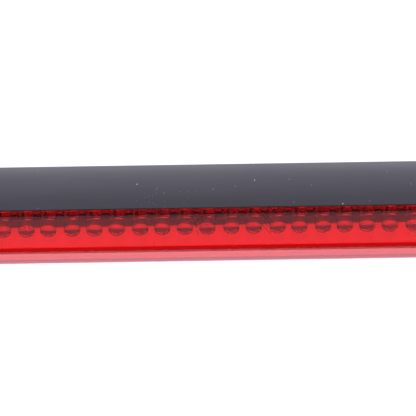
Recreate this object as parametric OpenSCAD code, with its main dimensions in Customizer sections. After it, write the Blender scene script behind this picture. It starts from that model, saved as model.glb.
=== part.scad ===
// High-mount third brake light: an LED bar with a clear red lens, held between two tilting brackets.
// Frame: +X runs along the bar, -Y is the way the light shines and +Z is up. The origin lies on the
// mounting surface, midway between the brackets and straight below the tilt axis. Millimetres.

/* [LEDs] */
// Distance between neighbouring LEDs
led_pitch = 7; // [6.5:0.5:9]
// Number of LED strings, each with its own resistor
string_count = 12; // [4:2:12]
// LEDs in series in one string
leds_per_string = 4; // [3:1:4]

/* [Body] */
// Depth of the bar, from the lens face to the back wall
body_depth = 31; // [31:0.25:31.5]
// Height of the lens nose that stands out of the housing
nose_height = 11; // [11:0.25:11.5]
// Thickness of the lens walls
lens_wall = 2; // [1.8:0.1:2]
// Thickness of the housing walls
housing_wall = 1.8; // [1.6:0.1:1.9]
// Radius of the curved hood
hood_radius = 29; // [28.5:0.25:30]

/* [Brackets] */
// Height of the tilt axis above the mounting surface
pivot_height = 21; // [21:0.5:26]
// Length of a bracket's foot beyond its ear
foot_length = 24; // [22:1:30]
// Width of a bracket's foot, front to back
foot_width = 35; // [35:1:40]
// Thickness of the foot and the ear
bracket_thickness = 3; // [2.5:0.25:3]
// Diameter of the screw holes in the feet
foot_hole_d = 4.4; // [3.4:0.1:4.8]

/* [Hidden] */
eps = 0.01;

// LED row
led_count = string_count * leds_per_string;
led_row = (led_count - 1) * led_pitch;
end_margin = 6.5;
body_length = led_row + 2 * end_margin;
led_d = 5;
led_flange_d = 5.8;
led_flange_h = 1;
led_length = 8.85;
lead_spacing = 2.54;
lead_side = 0.5;

// Cross-section, in Y and Z
front_y = -body_depth / 2;
back_y = body_depth / 2;
pivot_above_nose = 3.5;
nose_z = pivot_height - pivot_above_nose;
nose_top = nose_z + nose_height;
led_z = nose_z + nose_height / 2;
base_z = nose_z - 8;
shoulder_rise = 1;
shoulder_z = nose_top + shoulder_rise;
ramp_y = front_y + 11.8;
upper_lip_y = front_y + 12.4;
lower_lip_y = front_y + 11.35;
lip_thickness = 1.8;
lip_gap = 0.1;
lip_undercut = 0.5;
lower_lip_undercut = 0.75;
hood_tilt = 8.6;
lip_top = shoulder_z + lip_gap + lip_thickness;
hood_y = upper_lip_y - hood_radius * sin(hood_tilt);
hood_z = lip_top - hood_radius * cos(hood_tilt);
nose_top_r = 1.8;
nose_bottom_r = 0.4;
lip_r = 0.3;
lip_centre = [upper_lip_y + lip_r, lip_top - lip_r - 0.04];
back_top_r = 2.5;
back_bottom_r = 1.5;
slope_foot_y = -0.7;

// Circuit board, standing upright just behind the lens
board_t = 1.6;
board_gap = 0.1;
board_length = body_length - 6;
board_bottom = base_z + housing_wall + board_gap;
board_top = hood_z + sqrt(pow(hood_radius - housing_wall, 2) - pow(board_t - hood_y, 2)) - board_gap;
lead_hole_r = 0.45;
rib_t = 1.2;
rib_h = 2;

// End caps, gaskets and their screws
cap_plate = 3;
cap_wall = 1.4;
cap_clearance = 0.15;
skirt = 5;
gasket_t = 1;
cap_x = body_length / 2 + gasket_t;
cap_face = cap_x + cap_plate;
screw_spots = [[9.5, nose_z + 4.7], [12.4, base_z + 3.1]];
screw_boss_r = 2.6;
screw_pilot_r = 1.25;
screw_r = 1.2;
screw_length = 12;
screw_head_r = 2.8;
screw_head_h = 1.8;

// Tilt joint
boss_r = 5.5;
boss_h = 2;
insert_r = 2.75;
insert_bore_r = 2;
stud_r = 1.95;
pivot_hole_r = 2.15;
washer_t = 1;
ear_x = cap_face + boss_h + washer_t;
ear_face = ear_x + bracket_thickness;
ear_r = 8;
knob_gap = 0.1;
knob_hub_r = 4.4;
knob_length = 8.5;
wing_reach = 9;
wing_t = 2.8;
wing_length = 6;

// Feet
pad_t = 1.2;
foot_top = pad_t + bracket_thickness;
foot_end = ear_face + foot_length;
foot_corner_r = 4;
foot_hole_x = ear_face + 17.5;
foot_hole_y = 9;
ear_foot_y = 13;

// Plug inlet in the back wall, nearer the left end
inlet_x = -(led_row / 2 - 8.5 * led_pitch);
inlet_z = nose_z - 2.2;
inlet_w = 13.6;
inlet_h = 7.2;
inlet_wall = 1;
inlet_front = 7.5;
inlet_floor = 9;
seal_t = 0.6;
flange_t = 1;
flange_w = 17;
flange_h = 8.2;
inlet_face = back_y + seal_t + flange_t;
blade_x = 3;
blade_t = 0.8;
blade_h = 2.8;
wire_r = 0.65;
wire_sides = 8;
// One internal wire, from the blade's tail to the board: X and Z from the inlet's centre
wire_route = [
    [3, 5.2, 0], [3.1, 4.7, 0.1], [3.5, 4.2, 0.4], [4.3, 3.8, 0.8], [5.5, 3.6, 1.3],
    [7, 3.5, 1.9], [8.5, 3.4, 2.4], [9.7, 3.1, 2.8], [10.5, 2.6, 3], [10.9, 2.1, 3], [11, 1.6, 3]
];

function string_name(kind, i) = str(kind, "_", i < 10 ? "0" : "", i);

// ---- Helpers ----

// Points on an arc, from one angle to the other
function arc(centre, r, from, to, steps = 6) = [
    for (i = [0:steps])
        let (a = from + (to - from) * i / steps)
            centre + r * [cos(a), sin(a)]
];

// Extrudes a profile drawn in Y and Z along X, from x = start
module along_x(start, length) {
    translate([start, 0, 0])
        rotate([90, 0, 90])
            linear_extrude(length)
                children();
}

// A cylinder along X that starts at x = start
module rod_x(r, start, length) {
    translate([start, 0, 0])
        rotate([0, 90, 0])
            cylinder(r = r, h = length, $fn = 64);
}

// Puts its children, drawn at the right-hand end, at the end that side names: 1 right, -1 left
module at_end(side) {
    if (side > 0) children();
    else mirror([1, 0, 0]) children();
}

// Repeats its children at each LED of one string; the first string is number 1
module each_led(string) {
    first = (string - 1) * leds_per_string;
    for (k = [0:leds_per_string - 1])
        translate([(first + k) * led_pitch - led_row / 2, 0, led_z])
            children();
}

// ---- Cross-sections ----

// Centre of the rounding between the hood and the back wall
back_top_centre = [
    back_y - back_top_r,
    hood_z + sqrt(pow(hood_radius - back_top_r, 2) - pow(back_y - back_top_r - hood_y, 2))
];
back_top_angle = 36;

// The bar's back, from the foot of the front slope round to above the hood, grown by g
function back_points(g) =
    let (
        turn = arc(back_top_centre, back_top_r + g, 0, back_top_angle),
        beyond = 5 * [-sin(back_top_angle), cos(back_top_angle)],
        exit = turn[len(turn) - 1] + beyond
    )
    concat(
        [[slope_foot_y - g / 2, base_z - g]],
        arc([back_y - back_bottom_r, base_z + back_bottom_r], back_bottom_r + g, -90, 0),
        turn,
        [exit, [exit.x, exit.y + hood_radius]]
    );

// The housing's solid outline, before it is hollowed
module housing_outline() {
    intersection() {
        translate([hood_y, hood_z]) circle(r = hood_radius, $fn = 180);
        polygon(concat(
            [[lower_lip_y, nose_z - lip_gap],
             [lower_lip_y + lower_lip_undercut, nose_z - lip_gap - lip_thickness]],
            back_points(0),
            [[lip_centre.x, hood_z + 2 * hood_radius]],
            arc(lip_centre, lip_r, 100, 180),
            [[upper_lip_y + lip_undercut, shoulder_z + lip_gap],
             [upper_lip_y + lip_undercut, nose_z - lip_gap]]
        ));
    }
}

// The whole bar's outline with the lens, grown by g: the end caps and gaskets follow it
module bar_outline(g) {
    intersection() {
        translate([hood_y, hood_z]) circle(r = hood_radius + g, $fn = 180);
        polygon(concat(
            arc([front_y + nose_bottom_r, nose_z + nose_bottom_r], nose_bottom_r + g, 180, 270),
            [[lower_lip_y - g, nose_z - g],
             [lower_lip_y + lower_lip_undercut - g, nose_z - lip_gap - lip_thickness - g / 2]],
            back_points(g),
            [[lip_centre.x, hood_z + 2 * hood_radius]],
            arc(lip_centre, lip_r + g, 100, 180),
            [[ramp_y - g, nose_top + g]],
            arc([front_y + nose_top_r, nose_top - nose_top_r], nose_top_r + g, 90, 180)
        ));
    }
}

// The lens's profile: a nose that is open at the back, with a shoulder behind the hood's lip
module lens_profile() {
    lens_back = -board_gap;
    inner_ramp_y = ramp_y + lens_wall * tan(22.5);
    inner_front = front_y + lens_wall;
    inner_r = 0.5;
    polygon(concat(
        [[lens_back, nose_z]],
        arc([front_y + nose_bottom_r, nose_z + nose_bottom_r], nose_bottom_r, 270, 180),
        arc([front_y + nose_top_r, nose_top - nose_top_r], nose_top_r, 180, 90, 10),
        [[ramp_y, nose_top],
         [ramp_y + shoulder_rise, shoulder_z],
         [lens_back, shoulder_z],
         [lens_back, shoulder_z - lens_wall],
         [inner_ramp_y + shoulder_rise, shoulder_z - lens_wall],
         [inner_ramp_y, nose_top - lens_wall]],
        arc([inner_front + inner_r, nose_top - lens_wall - inner_r], inner_r, 90, 180),
        arc([inner_front + inner_r, nose_z + lens_wall + inner_r], inner_r, 180, 270),
        [[lens_back, nose_z + lens_wall]]
    ));
}

// ---- Housing and lens ----

module housing() {
    color([0.10, 0.10, 0.11])
    difference() {
        along_x(-body_length / 2, body_length) housing_section();
        inlet_cut();
    }
}

module housing_section() {
    difference() {
        union() {
            difference() {
                housing_outline();
                lens_slot();
                rear_cavity();
            }
            board_ribs();
            for (spot = screw_spots) translate(spot) circle(r = screw_boss_r, $fn = 48);
        }
        for (spot = screw_spots) translate(spot) circle(r = screw_pilot_r, $fn = 48);
    }
}

// The slot at the front that the lens slides into
module lens_slot() {
    translate([front_y, nose_z - lip_gap])
        square([-front_y + eps, shoulder_z - nose_z + 2 * lip_gap]);
}

// The hollow behind the lens
module rear_cavity() {
    intersection() {
        translate([hood_y, hood_z]) circle(r = hood_radius - housing_wall, $fn = 180);
        translate([-board_gap, base_z + housing_wall])
            square([back_y - housing_wall + board_gap, 2 * hood_radius]);
    }
}

// Ribs on the floor and under the hood that hold the board against the lens
module board_ribs() {
    rib_y = board_t + board_gap + 0.05;
    translate([rib_y, base_z + housing_wall - eps]) square([rib_t, rib_h]);
    translate([rib_y, board_top - rib_h])
        square([rib_t, rib_h + board_gap + 0.2]);
}

// The hole in the back wall for the inlet, and the room behind it for its barbs
module inlet_cut() {
    room = 0.1;
    barb_room = 2;
    room_front = inlet_front - 3;
    translate([inlet_x, room_front, inlet_z - inlet_h / 2 - room]) {
        translate([-inlet_w / 2 - room, 0, 0])
            cube([inlet_w + 2 * room, back_y, inlet_h + 2 * room]);
        translate([-inlet_w / 2 - barb_room, 0, 0])
            cube([inlet_w + 2 * barb_room, back_y - housing_wall - room_front, inlet_h + 2 * room]);
    }
}

module lens() {
    color([0.85, 0.05, 0.08, 0.6])
    along_x(-body_length / 2, body_length) lens_profile();
}

// ---- Circuit board and what is on it ----

module circuit_board() {
    color([0.75, 0.58, 0.38])
    difference() {
        translate([-board_length / 2, 0, board_bottom])
            cube([board_length, board_t, board_top - board_bottom]);
        for (s = [1:string_count])
            each_led(s)
                both_leads()
                    translate([0, board_t + eps, 0])
                        rotate([90, 0, 0])
                            cylinder(r = lead_hole_r, h = board_t + 2 * eps, $fn = 24);
    }
}

// Repeats its children at an LED's two leads
module both_leads() {
    for (side = [-1, 1]) translate([side * lead_spacing / 2, 0, 0]) children();
}

// One LED's epoxy body, from the board to the tip of its dome, hollowed for the lead frame
module led_body() {
    dome_r = led_d / 2;
    dome_h = 1.9;
    flat_x = 2.5;
    dome = [for (p = arc([0, 0], 1, 0, 90, 8)) [dome_r * p.x, led_length - dome_h + dome_h * p.y]];
    difference() {
        rotate([90, 0, 0])
            rotate_extrude($fn = 48)
                polygon(concat(
                    [[0, 0], [led_flange_d / 2, 0], [led_flange_d / 2, led_flange_h], [dome_r, led_flange_h]],
                    dome
                ));
        translate([flat_x, -led_flange_h - eps, -led_flange_d])
            cube([led_d, led_flange_h + 2 * eps, 2 * led_flange_d]);
        lead_frame();
    }
}

// The two stamped legs of an LED: the anvil with its cup, and the post
module lead_frame() {
    leg_in = 0.6;
    plate_t = 0.4;
    post = [0.6, 2.6, plate_t];
    post_x = -1.55;
    head = [0.95, 0.4, plate_t];
    head_x = -1.65;
    anvil = [1.9, 2.1, plate_t];
    anvil_x = -0.3;
    cup_x = 0.35;
    cup_r = 0.8;
    cup_h = 0.9;
    overlap = 0.1;
    for (side = [-1, 1])
        translate([side * lead_spacing / 2 - lead_side / 2, -leg_in, -lead_side / 2])
            cube([lead_side, leg_in + board_t, lead_side]);
    // Post, with the small head that the bond wire lands on
    translate([post_x, -leg_in - post.y, -plate_t / 2]) cube(post);
    translate([head_x, -leg_in - post.y + overlap - head.y, -plate_t / 2]) cube(head);
    // Anvil and cup
    translate([anvil_x, -leg_in - anvil.y, -plate_t / 2]) cube(anvil);
    translate([cup_x, -leg_in - anvil.y + overlap, 0])
        rotate([90, 0, 0])
            cylinder(r = cup_r, h = cup_h, $fn = 32);
}

module led_string(i) {
    color([0.9, 0.85, 0.85, 0.5]) each_led(i) led_body();
}

module lead_frames(i) {
    color([0.75, 0.75, 0.78]) each_led(i) lead_frame();
}

module solder_joints() {
    color([0.7, 0.7, 0.72])
    for (s = [1:string_count])
        each_led(s)
            both_leads()
                translate([0, board_t, 0])
                    rotate([-90, 0, 0])
                        cylinder(r1 = 0.95, r2 = 0.35, h = 1, $fn = 24);
}

// A chip resistor for each string, on the back of the board
module resistors() {
    size = [3.2, 0.6, 1.6];
    color([0.12, 0.12, 0.12])
    for (s = [1:string_count])
        translate([(s - (string_count + 1) / 2) * led_pitch * leds_per_string, board_t, nose_z + 1])
            translate([-size.x / 2, 0, -size.z / 2]) cube(size);
}

// The diode that guards against a reversed supply
module polarity_diode() {
    body = [4.3, 2.1, 2.6];
    tab = [0.8, 0.4, 1.5];
    color([0.08, 0.08, 0.08])
    translate([inlet_x - 20, board_t, nose_z - 2]) {
        translate([-body.x / 2, 0, -body.z / 2]) cube(body);
        for (side = [-1, 1])
            translate([side * (body.x + tab.x) / 2 - tab.x / 2, 0, -tab.z / 2]) cube(tab);
    }
}

// ---- End caps ----

module end_cap(side) {
    color([0.09, 0.09, 0.10])
    at_end(side) difference() {
        union() {
            along_x(cap_x, cap_plate) bar_outline(cap_wall);
            along_x(cap_x - skirt, skirt + eps)
                difference() {
                    bar_outline(cap_wall);
                    bar_outline(cap_clearance);
                }
            translate([0, 0, pivot_height]) rod_x(boss_r, cap_face - eps, boss_h + eps);
        }
        translate([0, 0, pivot_height]) rod_x(insert_r, cap_x - eps, cap_plate + boss_h + 2 * eps);
        for (spot = screw_spots)
            translate([0, spot.x, spot.y]) rod_x(screw_r + 0.3, cap_x - eps, cap_plate + 2 * eps);
    }
}

module end_gasket(side) {
    color([0.16, 0.16, 0.16])
    at_end(side) difference() {
        along_x(body_length / 2, gasket_t) bar_outline(0);
        for (spot = screw_spots)
            translate([0, spot.x, spot.y]) rod_x(screw_r + 0.3, body_length / 2 - eps, gasket_t + 2 * eps);
    }
}

module end_cap_screws() {
    recess_r = 1.1;
    recess_t = 0.6;
    recess_depth = 1;
    color([0.72, 0.72, 0.74])
    for (side = [-1, 1])
        at_end(side)
            for (spot = screw_spots)
                translate([0, spot.x, spot.y]) {
                    rod_x(screw_r, cap_face - screw_length, screw_length + eps);
                    difference() {
                        rod_x(screw_head_r, cap_face, screw_head_h);
                        for (turn = [0, 90])
                            translate([cap_face + screw_head_h - recess_depth, 0, 0])
                                rotate([turn, 0, 0])
                                    translate([0, -recess_r, -recess_t / 2])
                                        cube([recess_depth + eps, 2 * recess_r, recess_t]);
                    }
                }
}

module pivot_insert(side) {
    color([0.78, 0.62, 0.25])
    at_end(side) translate([0, 0, pivot_height]) difference() {
        rod_x(insert_r, cap_x, cap_plate + boss_h);
        rod_x(insert_bore_r, cap_x - eps, cap_plate + boss_h + 2 * eps);
    }
}

// ---- Plug inlet, its blades and the wires to the board ----

module plug_inlet() {
    barb = [0.8, 1, 3];
    barb_y = back_y - housing_wall - 0.1 - barb.y;
    color([0.13, 0.13, 0.14])
    translate([inlet_x, 0, inlet_z]) difference() {
        union() {
            translate([-inlet_w / 2, inlet_front, -inlet_h / 2])
                cube([inlet_w, inlet_face - inlet_front, inlet_h]);
            translate([-flange_w / 2, back_y + seal_t, -flange_h / 2]) cube([flange_w, flange_t, flange_h]);
            for (side = [-1, 1])
                translate([side * (inlet_w + barb.x) / 2 - barb.x / 2, barb_y, -barb.z / 2]) cube(barb);
        }
        translate([-inlet_w / 2 + inlet_wall, inlet_floor, -inlet_h / 2 + inlet_wall])
            cube([inlet_w - 2 * inlet_wall, inlet_face, inlet_h - 2 * inlet_wall]);
        for (side = [-1, 1])
            translate([side * blade_x - blade_t / 2, inlet_front - eps, -blade_h / 2])
                cube([blade_t, inlet_floor, blade_h]);
    }
}

module inlet_seal() {
    color([0.2, 0.2, 0.2])
    translate([inlet_x, back_y, inlet_z]) difference() {
        translate([-flange_w / 2 + 0.3, 0, -flange_h / 2 + 0.1]) cube([flange_w - 0.6, seal_t, flange_h - 0.2]);
        translate([-inlet_w / 2 - 0.05, -eps, -inlet_h / 2 - 0.05])
            cube([inlet_w + 0.1, seal_t + 2 * eps, inlet_h + 0.1]);
    }
}

module terminal_blade(side) {
    tail_h = 1.5;
    tail_y = wire_route[0].y;
    tip_y = 15;
    color([0.85, 0.72, 0.35])
    translate([inlet_x + side * blade_x - blade_t / 2, 0, inlet_z]) {
        translate([0, inlet_front, -blade_h / 2]) cube([blade_t, tip_y - inlet_front, blade_h]);
        translate([0, tail_y, -tail_h / 2]) cube([blade_t, inlet_front - tail_y + eps, tail_h]);
    }
}

// Direction of the wire's route at point i
function route_direction(p, i) =
    let (d = p[min(i + 1, len(p) - 1)] - p[max(i - 1, 0)]) d / norm(d);

// One ring of a tube round the route at point i, square to it
function ring(p, i, r) =
    let (
        d = i == 0 || i == len(p) - 1 ? [0, -1, 0] : route_direction(p, i),
        a = cross(d, [0, 0, 1]) / norm(cross(d, [0, 0, 1])),
        b = cross(d, a)
    )
    [for (k = [0:wire_sides - 1])
        let (t = 360 * k / wire_sides)
            p[i] + r * (a * cos(t) + b * sin(t))];

// A tube along a route
module tube(p, r) {
    n = len(p);
    s = wire_sides;
    polyhedron(
        points = [for (i = [0:n - 1]) each ring(p, i, r)],
        faces = concat(
            [[for (k = [0:s - 1]) k]],
            [for (i = [0:n - 2]) for (k = [0:s - 1])
                each [[i * s + k, (i + 1) * s + k, (i + 1) * s + (k + 1) % s],
                      [i * s + k, (i + 1) * s + (k + 1) % s, i * s + (k + 1) % s]]],
            [[for (k = [0:s - 1]) n * s - 1 - k]]
        )
    );
}

module feed_wire(side, paint) {
    color(paint)
    translate([inlet_x, 0, inlet_z]) at_end(side) tube(wire_route, wire_r);
}

// ---- Brackets ----

// A point where a line from outside touches a circle, on its +Y side
function touch_point(centre, r, outside) =
    let (d = outside - centre, a = atan2(d.y, d.x) + acos(r / norm(d)))
        centre + (r - 0.02) * [cos(a), sin(a)];

module bracket(side) {
    ear_foot = [ear_foot_y, foot_top];
    touch = touch_point([0, pivot_height], ear_r, ear_foot);
    gusset = [12, 2.5, 8];
    gusset_inset = 0.5;
    ear_lean = (ear_foot_y - touch.x) / (touch.y - foot_top);
    gusset_y = ear_foot_y - ear_lean * gusset.z - gusset_inset;
    color([0.11, 0.11, 0.12])
    at_end(side) difference() {
        union() {
            along_x(ear_x, bracket_thickness) {
                translate([0, pivot_height]) circle(r = ear_r, $fn = 96);
                polygon([
                    [-ear_foot_y, pad_t], [ear_foot_y, pad_t], ear_foot, touch,
                    [-touch.x, touch.y], [-ear_foot_y, foot_top]
                ]);
            }
            translate([0, 0, pad_t]) linear_extrude(bracket_thickness) foot_outline(0);
            for (y = [-1, 1])
                translate([ear_face - eps, y * (gusset_y - gusset.y / 2) + gusset.y / 2, foot_top - eps])
                    rotate([90, 0, 0])
                        linear_extrude(gusset.y)
                            polygon([[0, 0], [gusset.x, 0], [0, gusset.z]]);
        }
        translate([0, 0, pivot_height]) rod_x(pivot_hole_r, ear_x - eps, bracket_thickness + 2 * eps);
        foot_holes(foot_hole_d / 2, pad_t, bracket_thickness);
    }
}

// A foot seen from above, with its outer corners rounded and its edge drawn in by inset
module foot_outline(inset) {
    half = foot_width / 2 - inset;
    r = foot_corner_r - inset;
    far = foot_end - inset;
    polygon(concat(
        [[ear_x + inset, -half]],
        arc([far - r, -half + r], r, -90, 0),
        arc([far - r, half - r], r, 0, 90),
        [[ear_x + inset, half]]
    ));
}

module foot_holes(r, start, depth) {
    for (y = [-1, 1])
        translate([foot_hole_x, y * foot_hole_y, start - eps])
            cylinder(r = r, h = depth + 2 * eps, $fn = 48);
}

module adhesive_pad(side) {
    pad_inset = 0.8;
    pad_hole_r = 3.2;
    color([0.75, 0.75, 0.72])
    at_end(side) difference() {
        linear_extrude(pad_t) foot_outline(pad_inset);
        foot_holes(pad_hole_r, 0, pad_t);
    }
}

module friction_washer(side) {
    color([0.85, 0.85, 0.82])
    at_end(side) translate([0, 0, pivot_height]) difference() {
        rod_x(boss_r, cap_face + boss_h, washer_t);
        rod_x(pivot_hole_r, cap_face + boss_h - eps, washer_t + 2 * eps);
    }
}

module wing_knob(side) {
    start = ear_face + knob_gap;
    bore_depth = 6;
    tip_r = 1.8;
    color([0.08, 0.08, 0.09])
    at_end(side) translate([0, 0, pivot_height]) difference() {
        union() {
            rod_x(knob_hub_r, start, knob_length);
            for (turn = [0, 180])
                rotate([turn, 0, 0]) {
                    translate([start + knob_length - wing_length, -wing_t / 2, 0])
                        cube([wing_length, wing_t, wing_reach - tip_r]);
                    translate([0, 0, wing_reach - tip_r]) rod_x(tip_r, start + knob_length - wing_length, wing_length);
                }
        }
        rod_x(stud_r, start - eps, bore_depth + eps);
    }
}

module knob_stud(side) {
    stud_in = 4.5;
    bore_depth = 6;
    color([0.72, 0.72, 0.74])
    at_end(side) translate([0, 0, pivot_height])
        rod_x(stud_r, cap_face + boss_h - stud_in, ear_face + knob_gap + bore_depth - (cap_face + boss_h - stud_in));
}

housing();
lens();
circuit_board();
solder_joints();
resistors();
polarity_diode();
end_cap(-1);  // end_cap_left
end_cap(1);  // end_cap_right
end_gasket(-1);  // end_gasket_left
end_gasket(1);  // end_gasket_right
end_cap_screws();
pivot_insert(-1);  // pivot_insert_left
pivot_insert(1);  // pivot_insert_right
plug_inlet();
inlet_seal();
terminal_blade(1);  // terminal_blade_positive
terminal_blade(-1);  // terminal_blade_negative
feed_wire(1, "firebrick");  // feed_wire_positive
feed_wire(-1, [0.05, 0.05, 0.05]);  // feed_wire_negative
bracket(-1);  // bracket_left
bracket(1);  // bracket_right
adhesive_pad(-1);  // adhesive_pad_left
adhesive_pad(1);  // adhesive_pad_right
friction_washer(-1);  // friction_washer_left
friction_washer(1);  // friction_washer_right
wing_knob(-1);  // wing_knob_left
wing_knob(1);  // wing_knob_right
knob_stud(-1);  // knob_stud_left
knob_stud(1);  // knob_stud_right
for (i = [1:string_count]) {
    led_string(i);
    lead_frames(i);
}
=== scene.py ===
import math
import random

import bmesh
import bpy
from mathutils import Matrix, Vector


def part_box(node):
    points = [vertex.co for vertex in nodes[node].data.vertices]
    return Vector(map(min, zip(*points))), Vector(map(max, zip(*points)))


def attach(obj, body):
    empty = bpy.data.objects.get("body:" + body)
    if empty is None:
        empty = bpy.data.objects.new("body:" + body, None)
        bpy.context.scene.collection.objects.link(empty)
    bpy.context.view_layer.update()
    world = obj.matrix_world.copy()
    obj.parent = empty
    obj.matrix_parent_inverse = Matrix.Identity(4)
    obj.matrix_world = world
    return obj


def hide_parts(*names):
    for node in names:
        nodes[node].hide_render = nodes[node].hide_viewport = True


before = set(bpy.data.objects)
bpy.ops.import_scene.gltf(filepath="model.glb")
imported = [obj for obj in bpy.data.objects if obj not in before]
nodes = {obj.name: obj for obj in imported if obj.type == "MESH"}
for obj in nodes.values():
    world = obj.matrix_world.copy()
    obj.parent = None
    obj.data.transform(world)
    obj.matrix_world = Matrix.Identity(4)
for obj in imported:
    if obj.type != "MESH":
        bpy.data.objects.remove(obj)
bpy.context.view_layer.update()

MM = 0.001
scene = bpy.context.scene


def box_mm(node):
    """The lowest and highest corners of a CAD node, in millimetres."""
    low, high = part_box(node)
    return low / MM, high / MM


def node_names(prefix):
    return sorted(name for name in nodes if name.startswith(prefix))


# ---- Where things are ----

LENS_LOW, LENS_HIGH = box_mm("lens")
BOARD_BACK = box_mm("circuit_board")[1].y

FLANGE_R = 2.9
FLANGE_FLAT = 2.5
LED_R = 2.5
LED_LENGTH = 8.85
LEDS_PER_STRING = 4
led_low, led_high = box_mm("led_string_01")
LED_Z = (led_low.z + led_high.z) / 2
LED_PITCH = (led_high.x - FLANGE_FLAT - led_low.x - FLANGE_R) / (LEDS_PER_STRING - 1)


# ---- Mesh building ----

def arc(y, z, radius, start, end, steps):
    """Points on an arc in the Y-Z plane, from one angle to another in degrees."""
    angles = [math.radians(start + (end - start) * i / steps) for i in range(steps + 1)]
    return [(y + radius * math.cos(a), z + radius * math.sin(a)) for a in angles]


def mesh_object(name, bm, smooth_angle=30):
    """Turns a bmesh in millimetres into an object, smooth except at edges sharper than the angle."""
    bmesh.ops.recalc_face_normals(bm, faces=bm.faces)
    bmesh.ops.scale(bm, vec=(MM, MM, MM), verts=bm.verts)
    limit = math.radians(smooth_angle)
    for face in bm.faces:
        face.smooth = True
    for edge in bm.edges:
        if len(edge.link_faces) == 2 and edge.calc_face_angle(0) > limit:
            edge.smooth = False
    mesh = bpy.data.meshes.new(name)
    bm.to_mesh(mesh)
    bm.free()
    obj = bpy.data.objects.new(name, mesh)
    scene.collection.objects.link(obj)
    return obj


def weight_normals(obj):
    """Lets big flat faces keep their own normal where they meet a rounding."""
    modifier = obj.modifiers.new("weighted normals", "WEIGHTED_NORMAL")
    modifier.weight = 100
    modifier.keep_sharp = True


def prism(name, outline, x_start, x_end):
    """A straight extrusion along X of an outline given in Y and Z."""
    bm = bmesh.new()
    near = [bm.verts.new((x_start, y, z)) for y, z in outline]
    far = [bm.verts.new((x_end, y, z)) for y, z in outline]
    count = len(outline)
    for i in range(count):
        j = (i + 1) % count
        bm.faces.new((near[i], near[j], far[j], far[i]))
    bm.faces.new(near)
    bm.faces.new(far)
    obj = mesh_object(name, bm)
    weight_normals(obj)
    return obj


def use_material(obj, material):
    obj.data.materials.clear()
    obj.data.materials.append(material)


def add_piece(obj, body, slot, material, *replaced):
    """Puts a new piece on its body, in place of the CAD nodes it stands for."""
    use_material(obj, material)
    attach(obj, body)
    if replaced:
        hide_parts(*replaced)


# ---- Materials ----

class Nodes:
    """Short ways to add nodes to a tree."""

    def __init__(self, tree):
        self.tree = tree

    def node(self, kind, **settings):
        node = self.tree.nodes.new(kind)
        for key, value in settings.items():
            setattr(node, key, value)
        return node

    def link(self, source, target):
        self.tree.links.new(source, target)

    def math(self, operation, *values):
        """A maths node on values, each of them a number or another node's output."""
        node = self.node("ShaderNodeMath", operation=operation)
        for socket, value in zip(node.inputs, values):
            if isinstance(value, (int, float)):
                socket.default_value = value
            else:
                self.link(value, socket)
        return node.outputs[0]

    def axes(self, vector):
        """The X, Y and Z of a vector."""
        parts = self.node("ShaderNodeSeparateXYZ")
        self.link(vector, parts.inputs["Vector"])
        return parts.outputs

    def levels(self, value, low, high, to_low=0.0, to_high=1.0, **settings):
        """Maps low..high to to_low..to_high, and clamps it."""
        levels = self.node("ShaderNodeMapRange", **settings)
        for socket, number in zip(("From Min", "From Max", "To Min", "To Max"), (low, high, to_low, to_high)):
            levels.inputs[socket].default_value = number
        self.link(value, levels.inputs["Value"])
        return levels.outputs["Result"]

    def all_of(self, first, *others):
        """The product of masks."""
        for mask in others:
            first = self.math("MULTIPLY", first, mask)
        return first


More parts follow.
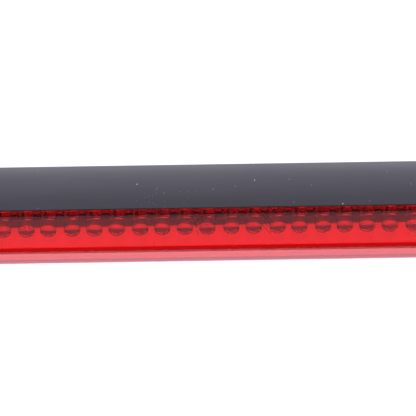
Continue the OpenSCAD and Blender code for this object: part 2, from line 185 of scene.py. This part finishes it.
class Finish(Nodes):
    """A Principled material, with methods that add procedural detail in the object's own space."""

    def __init__(self, name, colour, roughness, **sockets):
        self.material = bpy.data.materials.new(name)
        self.material.use_nodes = True
        super().__init__(self.material.node_tree)
        self.shader = self.tree.nodes["Principled BSDF"]
        self.shader.inputs["Base Color"].default_value = (*colour, 1)
        self.shader.inputs["Roughness"].default_value = roughness
        for socket, value in sockets.items():
            self.shader.inputs[socket.replace("_", " ")].default_value = value
        self.normal = None
        coordinates = self.node("ShaderNodeTexCoord")
        self.place = coordinates.outputs["Object"]
        self.facing = coordinates.outputs["Normal"]

    def spread(self, stretch=(1, 1, 1), turn=(0, 0, 0)):
        """The object's coordinates, turned in degrees and then stretched."""
        place = self.place
        if any(turn):
            turned = self.node("ShaderNodeMapping")
            turned.inputs["Rotation"].default_value = [math.radians(a) for a in turn]
            self.link(place, turned.inputs["Vector"])
            place = turned.outputs["Vector"]
        stretched = self.node("ShaderNodeMapping")
        stretched.inputs["Scale"].default_value = stretch
        self.link(place, stretched.inputs["Vector"])
        return stretched.outputs["Vector"]

    def noise(self, size_mm, stretch=(1, 1, 1), turn=(0, 0, 0), detail=3, rough=0.5):
        """Noise with features of about the size given, before any stretch."""
        noise = self.node("ShaderNodeTexNoise")
        noise.inputs["Scale"].default_value = 1 / (size_mm * MM)
        noise.inputs["Detail"].default_value = detail
        noise.inputs["Roughness"].default_value = rough
        self.link(self.spread(stretch, turn), noise.inputs["Vector"])
        return noise.outputs["Fac"]

    def inside_mm(self, low, high):
        """A mask of what lies between two corners, in millimetres."""
        axes = self.axes(self.place)
        return self.all_of(*(
            self.math("COMPARE", axes[axis], (start + end) / 2 * MM, (end - start) / 2 * MM)
            for axis, start, end in zip("XYZ", low, high)
        ))

    def specks(self, cell_mm, radius_mm, share):
        """A mask of small round specks on what faces up: one a cell, kept in only a share of the cells."""
        voronoi = self.node("ShaderNodeTexVoronoi", voronoi_dimensions="2D")
        voronoi.inputs["Scale"].default_value = 1 / (cell_mm * MM)
        self.link(self.spread(), voronoi.inputs["Vector"])
        edge = radius_mm / cell_mm
        dots = self.levels(voronoi.outputs["Distance"], edge * 0.6, edge, 1, 0)
        chance = self.node("ShaderNodeSeparateColor")
        self.link(voronoi.outputs["Color"], chance.inputs["Color"])
        kept = self.levels(chance.outputs["Red"], 1 - share, 1 - share + 0.001)
        up = self.levels(self.axes(self.facing)["Z"], 0.3, 0.5)
        return self.all_of(dots, kept, up)

    def colour(self, mask, other):
        """Turns the base colour to another one where the mask is 1."""
        mix = self.node("ShaderNodeMix", data_type="RGBA")
        base = self.shader.inputs["Base Color"]
        if base.is_linked:
            self.link(base.links[0].from_socket, mix.inputs["A"])
        else:
            mix.inputs["A"].default_value = base.default_value
        mix.inputs["B"].default_value = (*other, 1)
        self.link(mask, mix.inputs["Factor"])
        self.link(mix.outputs["Result"], base)

    def roughness(self, value):
        """Makes the roughness follow a value."""
        self.link(value, self.shader.inputs["Roughness"])

    def patch_mm(self, centre, size, turn):
        """A mask with a soft edge over a turned rectangle in the X-Y plane."""
        move = self.node("ShaderNodeVectorMath", operation="SUBTRACT")
        self.link(self.place, move.inputs[0])
        move.inputs[1].default_value = [c * MM for c in (*centre, 0)]
        mapping = self.node("ShaderNodeMapping")
        mapping.inputs["Rotation"].default_value = (0, 0, -math.radians(turn))
        self.link(move.outputs["Vector"], mapping.inputs["Vector"])
        axes = self.axes(mapping.outputs["Vector"])
        return self.all_of(*(
            self.levels(self.math("ABSOLUTE", axes[axis]), length * MM * 0.4, length * MM * 0.5, 1, 0)
            for axis, length in zip("XY", size)
        ))

    def scratches(self, centre, size, turn, gap_mm, lean):
        """A mask of broken parallel scratches within a patch, leaning from its long side by an angle."""
        noise = self.noise(gap_mm, stretch=(0.03, 1, 0.03), turn=(0, 0, -turn - lean), detail=1)
        lines = self.levels(noise, 0.5, 0.56)
        return self.all_of(lines, self.patch_mm(centre, size, turn))

    def bump(self, height, depth_mm):
        """Adds a bump on top of those already there."""
        bump = self.node("ShaderNodeBump")
        bump.inputs["Distance"].default_value = depth_mm * MM
        self.link(height, bump.inputs["Height"])
        if self.normal:
            self.link(self.normal, bump.inputs["Normal"])
        self.normal = bump.outputs["Normal"]
        self.link(self.normal, self.shader.inputs["Normal"])


# Painted light on the lower lip's top and painted shade on the board's face above it, as seen through the
# lens: lowest and highest corners
LIP_TOP_PAINTED_LIGHT = ((-300, -4.5, 17.3), (300, -0.05, 17.5))
BOARD_EDGE_PAINTED_SHADE = ((-300, -1, 0), (300, 0.3, 20.6))

# Dusty patches on the hood: centre, size and angle
DUSTY = (
    ((-9, 0), (22, 8), 8),
    ((96, 5), (30, 9), 5),
    ((-84, 2), (26, 9), -6),
    ((-128, 6), (30, 8), 4),
    ((122, 1), (24, 7), -8),
)


def hood_plastic():
    """Extruded satin black plastic: die lines along the bar, fine grain, dust, a few rubbed patches, and
    painted light on the lower lip's top.
    """
    f = Finish("hood plastic", (0.016, 0.0155, 0.0175), 0.32, IOR=1.6)
    patches = f.noise(14, stretch=(0.5, 1, 1), detail=5)
    f.roughness(f.levels(patches, 0.3, 0.7, 0.28, 0.36))
    f.bump(f.noise(0.35, detail=2), 0.006)
    f.bump(f.noise(0.5, stretch=(0.01, 1, 1), detail=2), 0.012)
    f.colour(f.levels(f.noise(5, stretch=(0.15, 1, 1), detail=6), 0.45, 0.8), (0.026, 0.025, 0.028))
    # Painted light: the lower lip's top is painted pale grey-red to stand for light reaching it through the
    # lens.
    f.colour(f.inside_mm(*LIP_TOP_PAINTED_LIGHT), (0.34, 0.27, 0.27))
    f.colour(f.specks(9, 0.2, 0.09), (0.75, 0.75, 0.75))
    f.colour(f.specks(6, 0.34, 0.25), (0.09, 0.09, 0.094))
    for centre, size, turn in DUSTY:
        fine = f.all_of(f.specks(1.2, 0.12, 0.3), f.patch_mm(centre, size, turn))
        f.colour(fine, (0.24, 0.24, 0.25))
    return f.material


# Scuffed patches on the lens's top: centre, size, angle, and how far the scratches lean from it
SCUFFS = (
    ((1.2, -5.9), (5.4, 2.1), 38, 80),
    ((1.5, -4.9), (5.0, 0.3), 38, 0),
    ((3.7, -5.1), (2.6, 0.9), -50, 0),
    ((21.5, -5.6), (5.0, 1.6), -52, 0),
    ((-52.0, -7.5), (4.0, 1.6), 30, 80),
    ((88.0, -8.0), (6.0, 1.8), -35, 0),
    ((-110.0, -6.5), (5.0, 2.0), 62, 75),
    ((131.0, -6.0), (4.5, 1.7), 25, 0),
)


def lens_acrylic():
    """Clear red acrylic, polished but for its frosted underside, with draw lines, scuffs and dust."""
    polished, frosted = 0.015, 0.9
    f = Finish("lens acrylic", (1, 1, 1), polished, Transmission_Weight=1.0, IOR=1.49)
    f.bump(f.noise(1.2, stretch=(0.004, 1, 1), detail=1), 0.004)
    for centre, size, turn, lean in SCUFFS:
        lines = f.scratches(centre, size, turn, 0.5, lean)
        f.colour(lines, (0.66, 0.62, 0.62))
        f.bump(lines, 0.03)
    f.bump(f.specks(6, 0.2, 0.2), 0.08)
    skin_low, skin_high = (LENS_LOW.z + 0.04) * MM, (LENS_LOW.z + 0.06) * MM
    f.roughness(f.levels(f.axes(f.place)["Z"], skin_low, skin_high, frosted, polished))
    dye = f.node("ShaderNodeVolumeAbsorption")
    dye.inputs["Color"].default_value = (0.970, 0.34, 0.36, 1)
    dye.inputs["Density"].default_value = 1900
    output = f.tree.nodes["Material Output"]
    f.link(dye.outputs["Volume"], output.inputs["Volume"])
    return f.material


def moulded_plastic(name, colour=(0.022, 0.022, 0.024), roughness=0.5, grain_mm=0.45):
    """Injection-moulded plastic with a spark-eroded grain."""
    f = Finish(name, colour, roughness)
    f.roughness(f.levels(f.noise(6, detail=4), 0.3, 0.7, roughness - 0.06, roughness + 0.08))
    f.bump(f.noise(grain_mm, detail=3, rough=0.6), 0.05)
    lighter = [min(1, c * 1.7 + 0.006) for c in colour]
    f.colour(f.levels(f.noise(9, detail=6), 0.5, 0.85), lighter)
    return f.material


def plated_metal(name, colour, roughness=0.28):
    """Turned and plated metal, with fine tool marks and a little tarnish."""
    f = Finish(name, colour, roughness, Metallic=1.0)
    f.roughness(f.levels(f.noise(1.5, detail=5), 0.3, 0.7, roughness - 0.06, roughness + 0.12))
    f.bump(f.noise(0.12, stretch=(8, 1, 1), detail=2), 0.004)
    f.colour(f.levels(f.noise(3, detail=6), 0.5, 0.9), [c * 0.6 for c in colour])
    return f.material


def foam(name, colour, cell_mm=0.5):
    """Closed-cell foam or soft rubber."""
    f = Finish(name, colour, 0.85)
    f.bump(f.noise(cell_mm, detail=4, rough=0.65), 0.12)
    f.colour(f.levels(f.noise(1.0, detail=5), 0.4, 0.75), [c * 0.72 for c in colour])
    return f.material


def board_laminate():
    """Bare phenolic paper laminate, with painted shade in black along its edge between the lips."""
    f = Finish("board laminate", (0.75, 0.58, 0.38), 0.45)
    f.colour(f.levels(f.noise(2.5, stretch=(0.3, 1, 1), detail=6), 0.4, 0.75), (0.64, 0.46, 0.28))
    # Painted shade: the board's face between the lips is painted black to stand for the shade in that gap.
    f.colour(f.inside_mm(*BOARD_EDGE_PAINTED_SHADE), (0.02, 0.02, 0.02))
    f.bump(f.noise(0.4, stretch=(0.3, 1, 1), detail=3), 0.01)
    return f.material


def led_epoxy():
    """Water-clear casting epoxy."""
    f = Finish("led epoxy", (0.97, 0.96, 0.95), 0.01, Transmission_Weight=1.0, IOR=1.54)
    f.bump(f.noise(1.5, detail=1), 0.006)
    return f.material


def wire_insulation(name, colour):
    f = Finish(name, colour, 0.38)
    f.bump(f.noise(0.4, detail=3), 0.01)
    f.colour(f.levels(f.noise(2, detail=4), 0.5, 0.8), [c * 0.8 for c in colour])
    return f.material


# ---- The lens ----

def make_lens(material):
    """A nose with rounded edges, open at the back, and a shoulder that sits under the hood's lip."""
    wall = 2.0
    shoulder_rise = 1.0
    nose_depth = 11.8
    eighth_turn = math.tan(math.radians(22.5))
    front, back = LENS_LOW.y, LENS_HIGH.y
    low, shoulder = LENS_LOW.z, LENS_HIGH.z
    top = shoulder - shoulder_rise
    ramp = front + nose_depth
    top_r, bottom_r, inner_r, soft_r = 1.8, 0.4, 0.5, 0.15
    inner_ramp = ramp + wall * eighth_turn
    half_turn = soft_r * eighth_turn
    outline = [(back, low)]
    outline += arc(front + bottom_r, low + bottom_r, bottom_r, 270, 180, 12)
    outline += arc(front + top_r, top - top_r, top_r, 180, 90, 24)
    outline += arc(ramp - half_turn, top + soft_r, soft_r, 270, 315, 4)
    outline += arc(ramp + shoulder_rise + half_turn, shoulder - soft_r, soft_r, 135, 90, 4)
    outline += [(back, shoulder), (back, shoulder - wall)]
    outline += [(inner_ramp + shoulder_rise, shoulder - wall), (inner_ramp, top - wall)]
    outline += arc(front + wall + inner_r, top - wall - inner_r, inner_r, 90, 180, 8)
    outline += arc(front + wall + inner_r, low + wall + inner_r, inner_r, 180, 270, 8)
    outline += [(back, low + wall)]
    lens = prism("lens_nose", outline, LENS_LOW.x, LENS_HIGH.x)
    add_piece(lens, "lamp", "lens_acrylic", material, "lens")


# ---- The LEDs ----

def led_stances():
    """Where each LED stands: hand-inserted, so each one leans and turns a little its own way."""
    rng = random.Random(11)
    stances = {}
    for name in node_names("led_string_"):
        first = box_mm(name)[0].x + FLANGE_R
        stances[name] = []
        for k in range(LEDS_PER_STRING):
            lean = Matrix.Rotation(math.radians(rng.uniform(-2.6, 2.6)), 4, "Z")
            droop = Matrix.Rotation(math.radians(rng.uniform(-1.2, 1.2)), 4, "X")
            shift = Vector((first + k * LED_PITCH + rng.uniform(-0.12, 0.12), -0.02, LED_Z))
            stances[name].append(Matrix.Translation(shift) @ lean @ droop)
    return stances


def add_led_body(bm, stance):
    """One LED's epoxy: a flange with a flat, a round body and a domed tip that points to -Y."""
    around, dome_steps, dome_h = 56, 14, 1.9
    flange_h, edge_h, edge_r = 1.0, 0.15, 0.12
    dome = LED_LENGTH - dome_h
    profile = [(0, FLANGE_R), (flange_h - edge_h, FLANGE_R), (flange_h, FLANGE_R - edge_r)]
    profile += [(flange_h + 0.02, LED_R + edge_r), (flange_h + edge_h, LED_R), (dome * 0.5, LED_R)]
    for i in range(dome_steps):
        a = math.radians(90 * i / dome_steps)
        profile.append((dome + dome_h * math.sin(a), LED_R * math.cos(a)))
    rings = []
    for out, radius in profile:
        ring = []
        for k in range(around):
            a = math.tau * k / around
            x = radius * math.cos(a)
            if out <= flange_h:
                x = min(x, FLANGE_FLAT)
            ring.append(bm.verts.new(stance @ Vector((x, -out, radius * math.sin(a)))))
        rings.append(ring)
    tip = bm.verts.new(stance @ Vector((0, -LED_LENGTH, 0)))
    for lower, upper in zip(rings, rings[1:]):
        for k in range(around):
            j = (k + 1) % around
            bm.faces.new((lower[k], lower[j], upper[j], upper[k]))
    for k in range(around):
        bm.faces.new((rings[-1][k], rings[-1][(k + 1) % around], tip))
    bm.faces.new(rings[0])


def add_block(bm, stance, low, high):
    """A box between two corners, in the LED's own frame."""
    size = Vector(high) - Vector(low)
    middle = (Vector(high) + Vector(low)) / 2
    scale = Matrix.Diagonal((*size, 1))
    bmesh.ops.create_cube(bm, size=1, matrix=stance @ Matrix.Translation(middle) @ scale)


def add_cup(bm, stance, x, out):
    """The anvil's reflector cup: a short barrel with a conical hollow that faces -Y."""
    around = 28
    profile = [(0, 0.55), (0.15, 0.72), (0.9, 0.82), (0.9, 0.72), (0.45, 0.36)]
    rings = []
    for forward, radius in profile:
        ring = []
        for k in range(around):
            a = math.tau * k / around
            spot = Vector((x + radius * math.cos(a), -out - forward, radius * math.sin(a)))
            ring.append(bm.verts.new(stance @ spot))
        rings.append(ring)
    for lower, upper in zip(rings, rings[1:]):
        for k in range(around):
            j = (k + 1) % around
            bm.faces.new((lower[k], lower[j], upper[j], upper[k]))
    bm.faces.new(rings[0])
    bm.faces.new(rings[-1])


def add_lead_frame(bm, stance):
    """The two stamped legs of one LED, with the cup on the anvil and the bond wire between them."""
    leg, plate, spacing, leg_in = 0.5, 0.4, 2.54, 0.6
    cup_x, cup_out = 0.35, 2.6
    wire_r = 0.025
    for side in (-1, 1):
        x = side * spacing / 2
        add_block(bm, stance, (x - leg / 2, -leg_in, -leg / 2), (x + leg / 2, BOARD_BACK, leg / 2))
    add_block(bm, stance, (-1.55, -3.2, -plate / 2), (-0.95, -leg_in, plate / 2))
    add_block(bm, stance, (-1.65, -3.5, -plate / 2), (-0.70, -3.1, plate / 2))
    add_block(bm, stance, (-0.30, -2.7, -plate / 2), (1.60, -leg_in, plate / 2))
    add_cup(bm, stance, cup_x, cup_out)
    add_block(bm, stance, (0.2, -3.2, -0.15), (0.5, -3.05, 0.15))
    wire = [(0.35, -3.2), (0.2, -3.8), (-0.25, -4.05), (-0.75, -3.85), (-1.1, -3.5)]
    for (x0, y0), (x1, y1) in zip(wire, wire[1:]):
        along = Vector((x1 - x0, y1 - y0, 0))
        turn = along.to_track_quat("Z", "Y").to_matrix().to_4x4()
        middle = Matrix.Translation(((x0 + x1) / 2, (y0 + y1) / 2, 0))
        bmesh.ops.create_cone(bm, cap_ends=True, segments=6, radius1=wire_r, radius2=wire_r,
                              depth=along.length, matrix=stance @ middle @ turn)


def make_leds(epoxy, metal):
    for name, stances in led_stances().items():
        number = name[-2:]
        bodies, metalwork = bmesh.new(), bmesh.new()
        for stance in stances:
            add_led_body(bodies, stance)
            add_lead_frame(metalwork, stance)
        body = mesh_object("led_bodies_" + number, bodies, 40)
        weight_normals(body)
        add_piece(body, "lamp", "led_epoxy", epoxy, name)
        legs = mesh_object("led_legs_" + number, metalwork)
        add_piece(legs, "lamp", "lead_frame_metal", metal, "lead_frames_" + number)


# ---- The CAD nodes that stay ----

def soften(node, width_mm):
    """Rounds the edges of a CAD node's copy of its mesh, by modifiers."""
    obj = nodes[node]
    weld = obj.modifiers.new("weld", "WELD")
    weld.merge_threshold = 0.002 * MM
    flatten = obj.modifiers.new("flat faces", "DECIMATE")
    flatten.decimate_type = "DISSOLVE"
    flatten.angle_limit = math.radians(1)
    bevel = obj.modifiers.new("rounded edges", "BEVEL")
    bevel.width = width_mm * MM
    bevel.segments = 2
    bevel.limit_method = "ANGLE"
    bevel.angle_limit = math.radians(32)
    bevel.harden_normals = True
    weight_normals(obj)


def dress_cad_nodes():
    black_cap = moulded_plastic("cap plastic", grain_mm=0.4)
    black_bracket = moulded_plastic("bracket plastic", (0.026, 0.026, 0.028), 0.55, 0.55)
    black_knob = moulded_plastic("knob plastic", (0.02, 0.02, 0.022), 0.42, 0.35)
    inlet = moulded_plastic("inlet plastic", (0.028, 0.028, 0.03), 0.4, 0.3)
    nylon = moulded_plastic("washer nylon", (0.74, 0.72, 0.66), 0.5, 0.4)
    gasket = foam("gasket rubber", (0.035, 0.035, 0.036))
    pad = foam("pad foam", (0.52, 0.52, 0.50), 0.35)
    zinc = plated_metal("zinc steel", (0.62, 0.63, 0.65))
    brass = plated_metal("turned brass", (0.80, 0.60, 0.26), 0.25)
    tinned = plated_metal("tinned brass", (0.82, 0.76, 0.62), 0.22)
    solder = plated_metal("bright solder", (0.66, 0.66, 0.68), 0.2)
    looks = {
        "housing": hood_plastic(),
        "circuit_board": board_laminate(),
        "solder_joints": solder,
        "resistors": moulded_plastic("resistor ceramic", (0.02, 0.02, 0.022), 0.3, 0.2),
        "polarity_diode": moulded_plastic("diode body", (0.018, 0.018, 0.018), 0.5, 0.2),
        "end_cap_screws": zinc,
        "plug_inlet": inlet,
        "inlet_seal": gasket,
        "terminal_blade_positive": tinned,
        "terminal_blade_negative": tinned,
        "feed_wire_positive": wire_insulation("red insulation", (0.5, 0.02, 0.02)),
        "feed_wire_negative": wire_insulation("black insulation", (0.02, 0.02, 0.02)),
    }
    for side in ("left", "right"):
        looks["end_cap_" + side] = black_cap
        looks["end_gasket_" + side] = gasket
        looks["pivot_insert_" + side] = brass
        looks["bracket_" + side] = black_bracket
        looks["adhesive_pad_" + side] = pad
        looks["friction_washer_" + side] = nylon
        looks["wing_knob_" + side] = black_knob
        looks["knob_stud_" + side] = zinc
    for node, material in looks.items():
        use_material(nodes[node], material)
    for side in ("left", "right"):
        soften("end_cap_" + side, 0.35)
        soften("bracket_" + side, 0.4)
        soften("wing_knob_" + side, 0.45)
    soften("end_cap_screws", 0.12)
    soften("plug_inlet", 0.15)


# ---- The studio ----

CAMERA_ELEVATION = math.radians(70)
CAMERA_ROLL = math.radians(0.9)
VIEW_WIDTH = 128.17
CAMERA_DISTANCE = 900


def make_camera():
    """Looks down at the middle of the bar from the front, and a little askew."""
    up_axis = Vector((0, math.sin(CAMERA_ELEVATION), math.cos(CAMERA_ELEVATION)))
    back = Vector((0, -math.cos(CAMERA_ELEVATION), math.sin(CAMERA_ELEVATION)))
    above_nose = 16.28
    edge_r = 0.4
    lens_bottom = Vector((0, LENS_LOW.y + edge_r, LENS_LOW.z + edge_r)).dot(up_axis) - edge_r
    height = (lens_bottom + above_nose) / up_axis.z
    target = Vector((LED_PITCH / 2, 0, height))
    camera = bpy.data.cameras.new("camera")
    camera.sensor_width = 36
    camera.lens = camera.sensor_width * CAMERA_DISTANCE / VIEW_WIDTH
    camera.clip_end = 100
    obj = bpy.data.objects.new("camera", camera)
    scene.collection.objects.link(obj)
    across = Vector((1, 0, 0))
    turn = Matrix((across, up_axis, back)).transposed().to_4x4()
    place = Matrix.Translation((target + back * CAMERA_DISTANCE) * MM)
    obj.matrix_world = place @ turn @ Matrix.Rotation(-CAMERA_ROLL, 4, "Z")
    scene.camera = obj


def make_floor():
    """A pale light table, so the lamp's own shadow stays faint."""
    clearance = 0.02 * MM
    bpy.ops.mesh.primitive_plane_add(size=8, location=(0, 0, -clearance))
    floor = bpy.context.object
    floor.name = "floor"
    f = Finish("floor", (0.5, 0.5, 0.5), 0.9)
    f.shader.inputs["Emission Color"].default_value = (1.0, 0.985, 1.12, 1)
    f.shader.inputs["Emission Strength"].default_value = 0.87
    use_material(floor, f.material)


def make_world():
    """Soft white, brighter behind, with a dark patch in front that only mirror reflections see."""
    patch_height, patch_inner, patch_outer = (math.radians(a) for a in (34, 48, 62))
    lift_through_lens = 1.7
    backdrop = 1.05
    world = bpy.data.worlds.new("studio")
    scene.world = world
    world.use_nodes = True
    w = Nodes(world.node_tree)
    direction = w.node("ShaderNodeTexCoord").outputs["Generated"]
    toward = w.node("ShaderNodeVectorMath", operation="DOT_PRODUCT")
    toward.inputs[1].default_value = (0, -math.cos(patch_height), math.sin(patch_height))
    w.link(direction, toward.inputs[0])
    patch = w.levels(toward.outputs["Value"], math.cos(patch_outer), math.cos(patch_inner), 0.0, 0.48,
                     interpolation_type="SMOOTHSTEP")
    glow = w.levels(w.axes(direction)["Y"], 0.45, 0.95, 0.6, 1.35, interpolation_type="SMOOTHSTEP")
    ray = w.node("ShaderNodeLightPath").outputs
    mirrored = w.math("SUBTRACT", ray["Is Reflection Ray"], ray["Is Diffuse Ray"])
    light = w.math("SUBTRACT", glow, w.all_of(mirrored, patch))
    light = w.math("MULTIPLY_ADD", ray["Is Transmission Ray"], lift_through_lens, light)
    seen = w.node("ShaderNodeMix")
    seen.inputs["B"].default_value = backdrop
    w.link(ray["Is Camera Ray"], seen.inputs["Factor"])
    w.link(light, seen.inputs["A"])
    background = w.tree.nodes["Background"]
    background.inputs["Color"].default_value = (1.0, 0.97, 1.2, 1)
    w.link(seen.outputs["Result"], background.inputs["Strength"])


def make_lights():
    """One large softbox overhead and behind."""
    behind, above = 0.5, 1.3
    light = bpy.data.lights.new("softbox", "AREA")
    light.shape = "RECTANGLE"
    light.size, light.size_y = 1.6, 1.0
    light.energy = 0.8
    obj = bpy.data.objects.new("softbox", light)
    scene.collection.objects.link(obj)
    obj.location = (0, behind, above)
    obj.rotation_euler = (-math.atan2(behind, above), 0, 0)


scene.view_settings.view_transform = "Standard"
scene.view_settings.look = "None"

make_camera()
make_floor()
make_world()
make_lights()
dress_cad_nodes()
make_lens(lens_acrylic())
make_leds(led_epoxy(), plated_metal("silvered lead frame", (0.90, 0.89, 0.87), 0.3))
